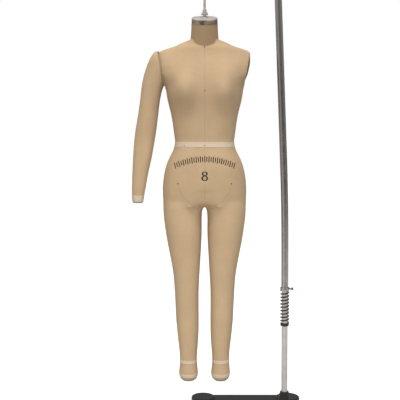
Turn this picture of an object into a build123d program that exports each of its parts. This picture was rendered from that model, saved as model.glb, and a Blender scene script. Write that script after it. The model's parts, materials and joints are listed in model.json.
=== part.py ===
from build123d import *
import os
from math import cos, exp, pi, radians, sin, tan

# Full-body dress form with collapsible shoulders, hung on a rolling stand.
# Millimetres. Origin on the floor under the middle of the object, +Z up, front of the form to -Y.

# ---- driving dimensions: stand ----
BASE_X = 121.5          # centre of the base plate
BASE_SIZE = 480.0       # over the corner lobes
EDGE_INSET = 8.0        # straight edges stand back from the lobes
BASE_TOP = 95.0
BASE_THICK = 22.0
LOBE_R = 52.0
LOBE_RISE = 8.0
PLATE_SKIN = 10.0       # thickness of the casting over its pockets
RIB = 12.0              # outer wall and ribs under the plate
POLE_X = 273.5
LOWER_R = 12.5
LOWER_TOP = 850.0
SOCKET_TOP = 187.0
COLLAR_Z = 464.0        # underside of the stop collar
COLLAR_H = 12.0
SPRING_TOP = 613.0
SPRING_R = 16.0
SPRING_WIRE_R = 2.0
SPRING_TURNS = 9.5
UPPER_R = 15.0
UPPER_BORE_R = 13.5
RUN_GAP = 0.05          # running clearance of the guide bush
STRAIGHT_TOP = 760.0    # the upper tube is straight up to here
BOW_TOP = 1160.0
LEAN_DEG = 2.1          # lean of the upper tube towards the form
CROOK_Z = 1990.0        # centre line of the horizontal arm
CROOK_R = 120.0
CROOK_END_X = -101.5
WALL = 1.5

# ---- driving dimensions: casters ----
CASTER_OUT = 188.0      # caster centre from the base centre, in X and Y
WHEEL_R = 25.0
WHEEL_W = 20.0
CASTER_TRAIL = 18.0
AXLE_R = 4.0

# ---- driving dimensions: form ----
FORM_X = -61.5          # hanging axis of the form
FORM_Z = 235.0          # underside of the legs
CROTCH_Z = 730.0
WAIST_Z = 985.0
TORSO_TOP = 1420.0
SKIN = 1.5              # linen over the shell
SHELL_IN = 6.0          # inner face of the moulded shell
BOARD = 9.0
ROD_R = 5.0
TAPE_W = 20.0
TAPE_OUT = 1.0

# Torso outline: height, half width, front depth, back depth, squareness, bust projection.
TORSO = [
    (730, 170, 84, 104, 2.5, 0),
    (760, 172, 88, 114, 2.45, 0),
    (790, 173, 94, 120, 2.4, 0),
    (850, 169, 101, 116, 2.35, 0),
    (905, 156, 101, 101, 2.3, 0),
    (945, 138, 94, 86, 2.25, 0),
    (985, 122, 86, 75, 2.2, 0),
    (1035, 126, 86, 77, 2.2, 0),
    (1085, 133, 88, 87, 2.25, 3),
    (1120, 140, 90, 95, 2.3, 11),
    (1155, 149, 93, 100, 2.3, 28),
    (1190, 156, 95, 103, 2.3, 41),
    (1236, 166, 91, 106, 2.3, 36),
    (1262, 186, 85, 107, 2.3, 25),
    (1298, 202, 75, 107, 2.3, 10),
    (1335, 207, 58, 102, 2.2, 2),
    (1362, 196, 45, 94, 2.1, 0),
    (1386, 142, 38, 85, 2.05, 0),
    (1403, 101, 28, 78, 2.0, 0),
    (1412, 81, 30, 75, 2.0, 0),
    (1420, 59, 34, 72, 2.0, 0),
]
BUST_X = 86.0
BUST_W = 44.0
CLEFT_TOP = 800.0       # the seat and crotch draw in towards the middle below this
CLEFT_W = 28.0
CLEFT_SHARE = 0.62

# Leg outline: height, centre across, half width, centre in depth, half depth.
LEG = [
    (0, 67, 27, 6, 30),
    (9, 67, 34, 6, 36),
    (60, 67.5, 35.5, 8, 39),
    (149, 68, 39, 12, 46),
    (250, 71.5, 46, 14, 54),
    (325, 73.5, 47.5, 13, 57),
    (400, 75, 50, 7, 56),
    (452, 76, 54, 2, 59),
    (552, 82, 66, 3, 72),
    (653, 89, 76, 7, 85),
    (700, 91, 79, 8, 86),
    (730, 87, 84, 10, 88),
]

# Arm outline: height, outer edge, inner edge, centre in depth, half depth (form's right arm, -X).
ARM = [
    (1370, -205, -176, 15, 24),
    (1355, -218, -166, 15, 40),
    (1325, -234, -158, 14, 49),
    (1290, -246, -156, 13, 51),
    (1248, -257, -163, 11, 49),
    (1207, -263, -177, 9, 46),
    (1132, -272, -190, 6, 43),
    (1031, -288, -203, 3, 41),
    (981, -293, -211, -1, 38),
    (930, -296, -220, -6, 36),
    (880, -298, -231, -11, 33),
    (830, -300, -240, -16, 29),
    (779, -300, -249, -21, 25),
    (745, -297, -254, -24, 22),
]

# Armhole plane: leans outwards towards the top.
ARMHOLE_X = 163.0
ARMHOLE_Z = 1235.0
ARMHOLE_LEAN = 11.7
PLATE_T = 2.0
ARM_GAP = 0.6
DOME_RISE = 8.0         # the bare shoulder's plate is domed, with a flat round its bore
DOME_FLAT = 6.5
DOME_HALF = 55.0
DOME_OVAL = (42.0, 52.0)
DOME_CENTRE = (10.0, -1.0)  # in the armhole's plane, from the bore
ARM_PIN_Z = 1303.0
ARM_PIN_Y = 4.0
ARM_PIN_R = 5.0
SOCKET_DEPTH = 16.0     # bore for a second arm, behind the armhole plane

# Collapsing shoulder.
HINGE_X = 148.0
HINGE_Z = 1244.0
HINGE_R = 3.0
KNUCKLE_R = 7.0
KNUCKLE_Y = 31.5
NOTCH_X = 138.0
NOTCH_Z = 1236.0
NOTCH_LEAN = 20.0
CAP_INSET = 3.0
SHOULDER_SPRING_Z = 1312.0

# Neck and its cap.
NECK_TILT = 18.0
CAP_R = 53.5
CAP_H = 23.0
CAP_TOP_Z = 1508.5
CAP_Y = -4.0

POINTS = 32
PARAMETERS = [i / POINTS for i in range(POINTS + 1)]
FORM_AT = Pos(FORM_X, 0, FORM_Z)


# ---- outlines and lofts ----
def oval(a, half_depth, squareness, angle):
    """A point of a squared oval at an angle."""
    c = cos(angle)
    s = sin(angle)
    power = 2.0 / squareness
    x = a * abs(c) ** power * (1 if c >= 0 else -1)
    y = half_depth * abs(s) ** power * (1 if s >= 0 else -1)
    return x, y


def closed_wire(points):
    """A closed smooth wire, with the same knots whatever its size."""
    return Wire([Edge.make_spline(points, periodic=True, parameters=PARAMETERS)])


def torso_wire(row, inset):
    """One level slice of the torso. The shoulders are also lowered by the inset."""
    z, a, front, back, squareness, bust = row
    drop = inset * min(1.0, max(0.0, (z - 1290) / 70))
    cleft = CLEFT_SHARE * max(0.0, (CLEFT_TOP - z) / (CLEFT_TOP - CROTCH_Z)) ** 1.6
    middle = (back - front) / 2
    points = []
    for i in range(POINTS):
        x, y = oval(a - inset, (front + back) / 2 - inset, squareness, 2 * pi * i / POINTS)
        if y < 0:
            y -= bust * exp(-(((abs(x) - BUST_X) / BUST_W) ** 2)) * min(1.0, -y / 50)
        y *= 1 - cleft * exp(-((x / CLEFT_W) ** 2))
        points.append(Vector(x, y + middle, z - drop))
    return closed_wire(points)


def torso(inset):
    """The torso's outer form, set in by a distance."""
    return Part(Compound([Solid.make_loft([torso_wire(row, inset) for row in TORSO])]).wrapped)


def limb(rows, inset, squareness=2.1):
    """A limb lofted through level slices: height, centre x, half width, centre y, half depth."""
    wires = []
    for z, x_mid, half_width, y_mid, half_depth in rows:
        points = []
        for i in range(POINTS):
            x, y = oval(half_width - inset, half_depth - inset, squareness, 2 * pi * i / POINTS)
            points.append(Vector(x + x_mid, y + y_mid, z))
        wires.append(closed_wire(points))
    return Part(Compound([Solid.make_loft(wires)]).wrapped)


def arm(inset):
    rows = [(z, (out + inn) / 2, (inn - out) / 2, y, depth) for z, out, inn, y, depth in ARM]
    return limb(rows, inset)


def neck(inset):
    """The neck leans forward and ends under its tilted cap."""
    wires = []
    for y_mid, z, half_width, half_depth, tilt in [
        (24, 1360, 64, 58, 12),
        (17, 1405, 60, 57, 16),
        (7, 1450, 55.5, 56, 18),
        (-3, 1500, 54, 54.5, 18),
        (-8, 1525, 54, 54, 18),
    ]:
        upwards = (0, -sin(radians(tilt)), cos(radians(tilt)))
        tilted = Plane(origin=(0, y_mid, z), x_dir=(1, 0, 0), z_dir=upwards)
        points = []
        for i in range(POINTS):
            x, y = oval(half_width - inset, half_depth - inset, 2.0, 2 * pi * i / POINTS)
            points.append(tilted.from_local_coords(Vector(x, y, 0)))
        wires.append(closed_wire(points))
    return Part(Compound([Solid.make_loft(wires)]).wrapped)


def beyond(point, normal, size=4000.0):
    """A large block on the side of a plane that its normal points to."""
    return Plane(origin=point, z_dir=normal) * Pos(0, 0, size / 2) * Box(size, size, size)


def slab(z_low, z_high):
    return Pos(0, 0, (z_low + z_high) / 2) * Box(900, 900, z_high - z_low)


def upright(radius, z_low, z_high, x=0.0, y=0.0):
    """A vertical round bar."""
    return Pos(x, y, (z_low + z_high) / 2) * Cylinder(radius, z_high - z_low)


def hexagon(across, z_low, height, x=0.0, y=0.0):
    """A vertical hexagonal nut or bolt head, without its bore."""
    return Pos(x, y, z_low) * extrude(RegularPolygon(across / 2, 6, major_radius=False), height)


def side_of(part, side):
    """The part as modelled for +X, or its mirror image for -X."""
    return part if side > 0 else mirror(part, about=Plane.YZ)


def armhole_frame(side, out=0.0):
    """Plane of one armhole, with its Z axis pointing away from the body."""
    lean = radians(ARMHOLE_LEAN)
    normal = Vector(side * cos(lean), 0, -sin(lean))
    z = ARM_PIN_Z
    x = ARMHOLE_X + (z - ARMHOLE_Z) * tan(lean)
    point = Vector(side * x, ARM_PIN_Y, z) + normal * out
    return Plane(origin=point, x_dir=(0, 1, 0), z_dir=normal)


def past_armhole(side, out=0.0):
    """Everything outside the plane of an armhole."""
    frame = armhole_frame(side, out)
    return beyond(frame.origin, frame.z_dir)


def outside_armhole(side, out=0.0):
    """The same, but only above the underarm."""
    return past_armhole(side, out) & beyond((0, 0, NOTCH_Z), (0, 0, 1))


def notch(side, offset=0.0):
    """The space cut out of the torso for one moving shoulder."""
    lean = radians(NOTCH_LEAN)
    normal = Vector(side * cos(lean), 0, sin(lean))
    point = Vector(side * NOTCH_X, 0, NOTCH_Z) - normal * offset
    return beyond(point, normal) & beyond((0, 0, NOTCH_Z - offset), (0, 0, 1))


def both_notches(offset=0.0):
    return [notch(-1, offset), notch(1, offset)]


def trimmed(solid, out=0.0):
    """A torso form cut flat at both armholes."""
    return solid - outside_armhole(-1, out) - outside_armhole(1, out)


# ---- form: shells, covers and boards ----
OUTER = torso(0)
CLEAR_OF_SHELL = torso(SKIN - 0.3)
CLEAR_OF_LINEN = torso(-0.2)
UNDER_LINEN = torso(SKIN)
HOLLOW = torso(SHELL_IN)
NECK_OUTER = neck(0)
NECK_UNDER = neck(SKIN)
CAP_PLANE = Plane(
    origin=(0, CAP_Y, CAP_TOP_Z),
    x_dir=(1, 0, 0),
    z_dir=(0, -sin(radians(NECK_TILT)), cos(radians(NECK_TILT))),
)
ROD_HOLE = upright(ROD_R + 1, 1150, 1600)


def torso_shell():
    body = trimmed(UNDER_LINEN - HOLLOW, -SKIN)
    for cut in both_notches():
        body -= cut
    return body - ROD_HOLE


def torso_covers():
    """Linen of the torso above the waist, of the hips below it, and of each shoulder."""
    linen = trimmed(OUTER - UNDER_LINEN) - NECK_OUTER
    hips = linen & slab(CROTCH_Z - 1, WAIST_Z)
    chest = linen & slab(WAIST_Z, TORSO_TOP + 1)
    shoulders = {}
    for side in (-1, 1):
        shoulders[side] = side_of(chest & notch(1), side)
    for cut in both_notches():
        chest -= cut
    return chest, hips, shoulders


def level_tape(z, height):
    """A woven tape round the waist."""
    raised = torso(-TAPE_OUT) - torso(0)
    return raised & slab(z - height / 2, z + height / 2)


def board(z_low, z_high):
    """A flat board that fills the inside of the shell."""
    return (HOLLOW & slab(z_low, z_high)) - upright(ROD_R + 0.5, 1150, 1600)


def neck_block():
    tip = beyond(CAP_PLANE.origin - CAP_PLANE.z_dir * CAP_H, CAP_PLANE.z_dir)
    boss = CAP_PLANE * Pos(0, 0, -CAP_H / 2 - WALL / 2) * Cylinder(CAP_R - WALL, CAP_H - WALL)
    return (NECK_UNDER - tip - CLEAR_OF_SHELL) + boss - ROD_HOLE


def neck_cover():
    tip = beyond(CAP_PLANE.origin - CAP_PLANE.z_dir * CAP_H, CAP_PLANE.z_dir)
    sleeve = NECK_OUTER - NECK_UNDER - tip - CLEAR_OF_LINEN
    return sleeve.solids().sort_by(SortBy.VOLUME)[-1]


def neck_cap():
    """Plated cap: a shallow cup with a rolled edge and a low boss for the rod."""
    inner_r = CAP_R - WALL
    profile = Polyline(
        (0, 0), (CAP_R - 3, 0), (CAP_R, -3), (CAP_R, -CAP_H),
        (inner_r, -CAP_H), (inner_r, -WALL), (0, -WALL),
        close=True,
    )
    cup = revolve(Plane.XZ * make_face(profile), Axis.Z)
    ring = Pos(0, 0, -CAP_H + 2.5) * Torus(CAP_R - 0.3, 1.2)
    boss = Pos(0, 0, 1.5) * Cylinder(19, 3)
    return CAP_PLANE.location * (cup + ring + boss) - ROD_HOLE


def leg_parts(side):
    rows = [(z, side * x, w, y, d) for z, x, w, y, d in LEG]
    outer = limb(rows, 0, 2.2)
    under = limb(rows, SKIN, 2.2)
    hollow = limb(rows, SHELL_IN, 2.2)
    cover = outer - under
    shell = under - hollow
    top_board = hollow & slab(CROTCH_Z - BOARD, CROTCH_Z)
    end_plate = hollow & slab(0, BOARD)
    raised = limb(rows, -TAPE_OUT, 2.2) - outer
    ankle = raised & slab(74, 87)
    hem = raised & slab(16, 30)
    return cover, shell, top_board, end_plate, ankle, hem


def leg_bolts():
    """Bolts that hold each leg's top board to the pelvis board."""
    bolts = []
    for side in (-1, 1):
        for y in (-35, 55):
            shank = upright(4, CROTCH_Z - BOARD - 6, CROTCH_Z + BOARD + 7, side * 88, y)
            head = hexagon(13, CROTCH_Z - BOARD - 12, 6, side * 88, y)
            nut = hexagon(13, CROTCH_Z + BOARD, 6, side * 88, y)
            bolts.append(shank + head + nut)
    return bolts


def bolt_holes(radius=4.0):
    return [
        upright(radius, CROTCH_Z - 20, CROTCH_Z + 20, side * 88, y)
        for side in (-1, 1)
        for y in (-35, 55)
    ]


def surface_y(solid, x, z):
    """Front surface of a solid at a point, by the first crossing of a level line."""
    line = Edge.make_line((x, -250, z), (x, 0, z))
    inside = solid & line
    return min(v.Y for v in inside.vertices())


def form_studs():
    """Small reference pins: neck pit, between the breasts, waist and hips."""
    studs = []
    for x, z in [(0, 1382), (0, 1201), (-82, 980), (0, 980), (-108, 827), (108, 827)]:
        y = surface_y(OUTER, x, z)
        studs.append(Pos(x, y + 1, z) * Rot(90, 0, 0) * Cylinder(2.5, 6))
    return studs


# ---- collapsing shoulders ----
def hinge_bar(radius, half_length):
    return Pos(HINGE_X, 0, HINGE_Z) * Rot(90, 0, 0) * Cylinder(radius, 2 * half_length)


def shoulder_cap(side):
    """Rigid shoulder block that carries the armhole plate and turns on the hinge pin."""
    form = torso(CAP_INSET) - outside_armhole(1)
    block = form & beyond((HINGE_X, 0, 0), (1, 0, 0)) & beyond((0, 0, NOTCH_Z + 1), (0, 0, 1))
    block -= hinge_bar(KNUCKLE_R + 1.5, 120) - hinge_bar(KNUCKLE_R + 3, KNUCKLE_Y)
    block += hinge_bar(KNUCKLE_R, KNUCKLE_Y)
    block -= hinge_bar(HINGE_R + 0.05, 120)
    recess = Pos(HINGE_X + 4, 4, SHOULDER_SPRING_Z) * Rot(0, 90, 0) * Cylinder(13, 8)
    block -= recess
    return side_of(block, side)


def shoulder_board(side):
    """L-shaped board that closes the shell behind and below the moving shoulder."""
    block = HOLLOW & (notch(1, BOARD) - notch(1)) & slab(1200, 1372)
    return side_of(block, side)


def shoulder_bracket(side):
    """Hinge bracket: two ears on a back plate that is screwed to the board."""
    lean = radians(NOTCH_LEAN)
    plate = Plane(
        origin=(NOTCH_X, 0, NOTCH_Z),
        x_dir=(0, 1, 0),
        z_dir=(cos(lean), 0, sin(lean)),
    ) * Pos(0, 22, 1.5) * Box(84, 40, 3)
    ears = None
    for y in (-35.5, 35.5):
        root = Pos(HINGE_X - 6, y, HINGE_Z) * Box(14, 6, 12)
        eye = Pos(HINGE_X, y, HINGE_Z) * Rot(90, 0, 0) * Cylinder(KNUCKLE_R, 6)
        ears = root + eye if ears is None else ears + root + eye
    ears -= notch_back(1)
    return side_of(plate + ears - hinge_bar(HINGE_R, 120), side)


def notch_back(side):
    """Everything behind the notch's sloping face."""
    lean = radians(NOTCH_LEAN)
    return beyond((side * NOTCH_X, 0, NOTCH_Z), (-side * cos(lean), 0, -sin(lean)))


def shoulder_spring(side):
    """Compression spring that pushes the shoulder back out."""
    lean = radians(NOTCH_LEAN)
    start = NOTCH_X - (SHOULDER_SPRING_Z - NOTCH_Z) * tan(lean) + 7.5
    length = HINGE_X + 7.5 - start
    coil = Edge.make_helix(pitch=length / 6, height=length - 4, radius=10)
    wire = Plane(origin=coil @ 0, z_dir=coil % 0) * Circle(1.2)
    body = sweep(wire, path=coil, is_frenet=True)
    placed = Pos(start + 2, 4, SHOULDER_SPRING_Z) * Rot(0, 90, 0) * body
    return side_of(placed, side)


def armhole_plate():
    """Oval steel plate over the armhole that carries the arm."""
    oval_form = torso(8) & slab(ARMHOLE_Z + 4, TORSO_TOP)
    outer_face = oval_form & outside_armhole(1) - outside_armhole(1, PLATE_T)
    return side_of(outer_face, -1) - pin_space(ARM_PIN_R)


def armhole_dome():
    """Domed closing plate of the bare shoulder, flat round its bore."""
    radius = (DOME_HALF**2 + DOME_RISE**2) / (2 * DOME_RISE)
    outline = Pos(*DOME_CENTRE, 0) * extrude(Ellipse(*DOME_OVAL), DOME_FLAT)
    ball = Pos(*DOME_CENTRE, DOME_RISE - radius) * Sphere(radius)
    return armhole_frame(1).location * (outline & ball) - arm_socket()


# ---- arm ----
def arm_pin():
    """Pivot pin of the arm, square to the armhole."""
    frame = armhole_frame(-1)
    shank = frame.location * Pos(0, 0, -2) * Cylinder(ARM_PIN_R, 28)
    head = frame.location * Pos(0, 0, PLATE_T + ARM_GAP + PLATE_T + 1.8) * Cylinder(9, 3)
    return shank + head


def arm_socket():
    """Blind bore in the bare shoulder for the pin of a second arm."""
    return armhole_frame(1).location * Pos(0, 0, (10 - SOCKET_DEPTH) / 2) * Cylinder(
        ARM_PIN_R + RUN_GAP, 10 + SOCKET_DEPTH
    )


def pin_space(radius, half_length=60):
    return armhole_frame(-1).location * Cylinder(radius, 2 * half_length)


def arm_body():
    inner_face = PLATE_T + ARM_GAP + PLATE_T
    body = arm(0) & past_armhole(-1, inner_face)
    head_space = armhole_frame(-1).location * Pos(0, 0, inner_face + 3) * Cylinder(11, 12)
    return body - head_space - slab(700, 745 + PLATE_T)


def arm_top_plate():
    inner_face = PLATE_T + ARM_GAP
    oval_form = arm(4) & past_armhole(-1, inner_face) - past_armhole(-1, inner_face + PLATE_T)
    return oval_form - pin_space(ARM_PIN_R + 0.05)


def wrist_plate():
    return arm(2) & slab(745, 745 + PLATE_T)


def wrist_tape():
    return (arm(-TAPE_OUT) - arm(0)) & slab(748, 776)


# ---- stand ----
def base_plate():
    side = BASE_SIZE - 2 * EDGE_INSET
    plate = extrude(Pos(BASE_X, 0) * RectangleRounded(side, side, 30), BASE_THICK)
    plate = Pos(0, 0, BASE_TOP - BASE_THICK) * plate
    plate = fillet(plate.edges().group_by(Axis.Z)[-1], 5) - plate_pockets(side)
    for x, y in caster_centres():
        lobe = upright(LOBE_R, BASE_TOP - BASE_THICK, BASE_TOP + LOBE_RISE, x, y)
        plate += fillet(lobe.edges().group_by(Axis.Z)[-1], 7)
    for x, y in socket_bolt_centres():
        plate -= upright(4, BASE_TOP - 14, BASE_TOP + 1, x, y)
    for x, y in caster_screw_centres():
        plate -= upright(3, BASE_TOP - BASE_THICK - 1, BASE_TOP - BASE_THICK + 12, x, y)
    return plate


def plate_pockets(side):
    """Hollow underside of the casting, with ribs between the pockets and a boss under the socket."""
    depth = BASE_THICK - PLATE_SKIN
    middle = BASE_TOP - BASE_THICK + depth / 2
    hollow = Pos(BASE_X, 0, middle) * Box(side - 2 * RIB, side - 2 * RIB, depth)
    for step in (-1, 0, 1):
        across = step * side / 4
        hollow -= Pos(BASE_X + across, 0, middle) * Box(RIB, side, depth)
        hollow -= Pos(BASE_X, across, middle) * Box(side, RIB, depth)
    return hollow - upright(62, 0, BASE_TOP, POLE_X)


def caster_centres():
    return [
        (BASE_X + i * CASTER_OUT, j * CASTER_OUT)
        for i, j in [(-1, -1), (1, -1), (1, 1), (-1, 1)]
    ]


def caster_screw_centres():
    return [
        (x + i * 22, y + j * 22)
        for x, y in caster_centres()
        for i in (-1, 1)
        for j in (-1, 1)
    ]


def socket_bolt_centres():
    return [
        (POLE_X + 43 * cos(radians(a)), 43 * sin(radians(a)))
        for a in (45, 135, 225, 315)
    ]


def pole_socket():
    """Tapered cast socket with a flared, bolted foot."""
    height = SOCKET_TOP - BASE_TOP
    outline = [
        Line((LOWER_R, 0), (56, 0)),
        Line((56, 0), (56, 9)),
        Spline((56, 9), (37, 22), (28, 50), (19, height - 4), tangents=[(-1, 0.1), (-0.15, 1)]),
        Line((19, height - 4), (17, height)),
        Line((17, height), (LOWER_R, height)),
        Line((LOWER_R, height), (LOWER_R, 0)),
    ]
    body = revolve(Plane.XZ * make_face(Wire(outline)), Axis.Z)
    body = Pos(POLE_X, 0, BASE_TOP) * body
    for x, y in socket_bolt_centres():
        body -= upright(4, BASE_TOP - 1, BASE_TOP + 9.5, x, y)
        body -= upright(8, BASE_TOP + 9, BASE_TOP + 30, x, y)
    return body


def tube(outer_r, inner_r, z_low, z_high, x):
    return upright(outer_r, z_low, z_high, x) - upright(inner_r, z_low - 1, z_high + 1, x)


def mast_spring():
    height = SPRING_TOP - COLLAR_Z - COLLAR_H
    coil = Edge.make_helix(
        pitch=(height - 2 * SPRING_WIRE_R) / SPRING_TURNS,
        height=height - 2 * SPRING_WIRE_R,
        radius=SPRING_R,
    )
    wire = Plane(origin=coil @ 0, z_dir=coil % 0) * Circle(SPRING_WIRE_R)
    body = sweep(wire, path=coil, is_frenet=True)
    return Pos(POLE_X, 0, COLLAR_Z + COLLAR_H + SPRING_WIRE_R) * body


def upper_tube_path():
    """Straight over the lower tube, a slight bow, a lean to the crook, then level over the form."""
    lean = radians(LEAN_DEG)
    bow_x = POLE_X - (BOW_TOP - STRAIGHT_TOP) * tan(lean / 2)
    top_x = bow_x - (CROOK_Z - BOW_TOP) * tan(lean)
    return FilletPolyline(
        (POLE_X, 0, SPRING_TOP),
        (POLE_X, 0, (STRAIGHT_TOP + BOW_TOP) / 2),
        (top_x, 0, CROOK_Z),
        (CROOK_END_X, 0, CROOK_Z),
        radius=[(BOW_TOP - STRAIGHT_TOP) / 2 / tan(lean / 2), CROOK_R],
    )


def upper_tube():
    path = upper_tube_path()
    ring = Plane(origin=path @ 0, z_dir=path % 0) * (Circle(UPPER_R) - Circle(UPPER_BORE_R))
    body = sweep(ring, path=path)
    body -= upright(ROD_R + RUN_GAP, CROOK_Z - 40, CROOK_Z + 40, FORM_X)
    return body - thumbscrew_space(3.0)


def thumbscrew_space(radius):
    return Pos(POLE_X + 25, 0, SPRING_TOP + 6) * Rot(0, 90, 0) * Cylinder(radius, 50)


def guide_bush():
    """Plastic bush that runs on the lower tube."""
    body = tube(UPPER_BORE_R, LOWER_R + RUN_GAP, SPRING_TOP, SPRING_TOP + 40, POLE_X)
    return body - thumbscrew_space(3.0)


def clamp_ring():
    body = tube(19.5, UPPER_R, SPRING_TOP, SPRING_TOP + 12, POLE_X)
    return body - thumbscrew_space(3.0)


def thumbscrew():
    """Clamping screw with a winged head."""
    shank = Rot(0, 90, 0) * Cylinder(2.95, 16)
    hub = Pos(10, 0, 0) * Rot(0, 90, 0) * Cylinder(6, 6)
    wing = Pos(12, 0, 0) * Box(4, 26, 8)
    wing = fillet(wing.edges().filter_by(Axis.X), 3.5)
    return Pos(POLE_X + LOWER_R + 0.3 + 8, 0, SPRING_TOP + 6) * (shank + hub + wing)


def stop_collar():
    body = tube(18, LOWER_R, COLLAR_Z, COLLAR_Z + COLLAR_H, POLE_X)
    return fillet(body.edges().filter_by(GeomType.CIRCLE).sort_by(SortBy.RADIUS)[-2:], 1.5)


def crook_end_cap():
    plug = Rot(0, 90, 0) * Cylinder(UPPER_BORE_R, 14)
    head = Pos(-9, 0, 0) * Rot(0, 90, 0) * Cylinder(UPPER_R, 4)
    return Pos(CROOK_END_X + 7, 0, CROOK_Z) * (plug + head)


def swivel_washers():
    """Saddle washers above and below the crook: flat outside, hollowed to the tube inside."""
    washers = []
    for side in (-1, 1):
        disc = upright(15, CROOK_Z - 19.5, CROOK_Z - 10, FORM_X)
        if side > 0:
            disc = upright(15, CROOK_Z + 10, CROOK_Z + 19.5, FORM_X)
        disc -= Pos(FORM_X, 0, CROOK_Z) * Rot(0, 90, 0) * Cylinder(UPPER_R, 80)
        washers.append(disc - upright(ROD_R + RUN_GAP, CROOK_Z - 40, CROOK_Z + 40, FORM_X))
    return washers


def swivel_nuts():
    """Collar under the crook and a pair of nuts on top carry the rod."""
    nuts = []
    for z, across, height in [
        (CROOK_Z + 19.7, 24, 8),
        (CROOK_Z + 28, 19, 7),
        (CROOK_Z - 27.7, 24, 8),
    ]:
        bore = upright(ROD_R, z - 1, z + height + 1, FORM_X)
        nuts.append(hexagon(across, z, height, FORM_X) - bore)
    return nuts


def hanger_rod():
    body = upright(ROD_R, FORM_Z + 1182, CROOK_Z + 42, FORM_X)
    return chamfer(body.edges().group_by(Axis.Z)[-1], 1.5)


def rod_nuts():
    """Flange nut and locknut above the neck cap, and the nut and washer under the hanger board."""
    lower_washer = upright(22, 1197, 1200)
    pieces = [
        upright(14.5, 1520, 1523.5) + hexagon(22, 1523.5, 6),
        hexagon(15, 1532.5, 9),
        lower_washer,
        hexagon(19, 1187, 10),
    ]
    return [FORM_AT * (piece - upright(ROD_R, 1150, 1600)) for piece in pieces]


# ---- casters ----
def caster_top():
    """Height of the fork's crown under the fixed plate."""
    return BASE_TOP - BASE_THICK - 8


def caster_plates():
    plates = []
    for x, y in caster_centres():
        z = BASE_TOP - BASE_THICK
        plate = Pos(x, y, z - 1.5) * Box(60, 60, 3)
        race = upright(18, z - 7.7, z - 3, x, y)
        pivot = upright(5, caster_top() - 6, z - 3, x, y)
        foot = upright(8, caster_top() - 6.3, caster_top() - 4.3, x, y)
        body = plate + race + pivot + foot
        for i in (-22, 22):
            for j in (-22, 22):
                body -= upright(3, z - 4, z + 1, x + i, y + j)
        plates.append(body)
    return plates


def caster_screws():
    screws = []
    for x, y in caster_screw_centres():
        z = BASE_TOP - BASE_THICK
        screws.append(upright(3, z - 3, z + 11, x, y) + hexagon(9, z - 6.5, 3.5, x, y))
    return screws


def caster_fork(x, y):
    """Pressed fork: a crown round the pivot and two legs that trail to the axle."""
    top = caster_top()
    crown = Pos(x, y, top - 2) * Cylinder(17, 4)
    bridge = Pos(x + 6, y, top - 2) * Box(30, WHEEL_W + 12, 4)
    body = crown + bridge
    for j in (-1, 1):
        leg = Polyline(
            (-8, top - 1), (21, top - 1),
            (CASTER_TRAIL + 8, WHEEL_R - 5), (CASTER_TRAIL - 7, WHEEL_R - 6),
            close=True,
        )
        sheet = extrude(Plane.XZ * make_face(leg), 2.5)
        body += Pos(x, y + j * (WHEEL_W / 2 + 2.5) + 1.25, 0) * sheet
    body -= upright(5 + RUN_GAP, top - 10, top + 5, x, y)
    return body - axle_bar(x, y, AXLE_R, 40)


def axle_bar(x, y, radius, half_length):
    return Pos(x + CASTER_TRAIL, y, WHEEL_R) * Rot(90, 0, 0) * Cylinder(radius, 2 * half_length)


def caster_axle(x, y):
    body = axle_bar(x, y, AXLE_R, WHEEL_W / 2 + 7)
    for j in (-1, 1):
        centre = Pos(x + CASTER_TRAIL, y + j * (WHEEL_W / 2 + 6.75), WHEEL_R) * Rot(90, 0, 0)
        body += centre * extrude(RegularPolygon(6.5, 6), 3, both=True)
    return body


def caster_wheel(x, y):
    body = Pos(x + CASTER_TRAIL, y, WHEEL_R) * Rot(90, 0, 0) * Cylinder(WHEEL_R, WHEEL_W)
    body = fillet(body.edges(), 3)
    return body - axle_bar(x, y, AXLE_R + RUN_GAP, 40)


# ---- write every node ----
def save(name, shape, location=None):
    pieces = shape if isinstance(shape, list) else [shape]
    if location is not None:
        pieces = [location * piece for piece in pieces]
    solids = [solid for piece in pieces for solid in piece.solids()]
    out = solids[0] if len(solids) == 1 else Compound(children=solids)
    out.label = name
    export_step(out, f"parts/{name}.step")


def save_form():
    chest, hips, shoulders = torso_covers()
    pelvis_board = board(CROTCH_Z, CROTCH_Z + BOARD)
    for hole in bolt_holes():
        pelvis_board -= hole
    save("torso_shell", torso_shell(), FORM_AT)
    save("torso_cover", chest, FORM_AT)
    save("hip_cover", hips, FORM_AT)
    save("waist_tape", level_tape(WAIST_Z, TAPE_W), FORM_AT)
    save("neck_block", neck_block(), FORM_AT)
    save("neck_cover", neck_cover(), FORM_AT)
    save("neck_cap", neck_cap(), FORM_AT)
    save("hanger_board", board(1200, 1200 + 2 * BOARD), FORM_AT)
    save("pelvis_board", pelvis_board, FORM_AT)
    save("form_studs", form_studs(), FORM_AT)
    save("rod_nuts", rod_nuts())
    save("leg_bolts", leg_bolts(), FORM_AT)
    boards = []
    ends = []
    tapes = []
    for side, name in ((-1, "left"), (1, "right")):
        cover, shell, top_board, end_plate, ankle, hem = leg_parts(side)
        for hole in bolt_holes():
            top_board -= hole
        save(f"leg_cover_{name}", cover, FORM_AT)
        save(f"leg_shell_{name}", shell, FORM_AT)
        boards.append(top_board)
        ends.append(end_plate)
        tapes += [ankle, hem]
    save("leg_top_boards", boards, FORM_AT)
    save("leg_end_plates", ends, FORM_AT)
    save("leg_tapes", tapes, FORM_AT)
    return shoulders


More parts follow.
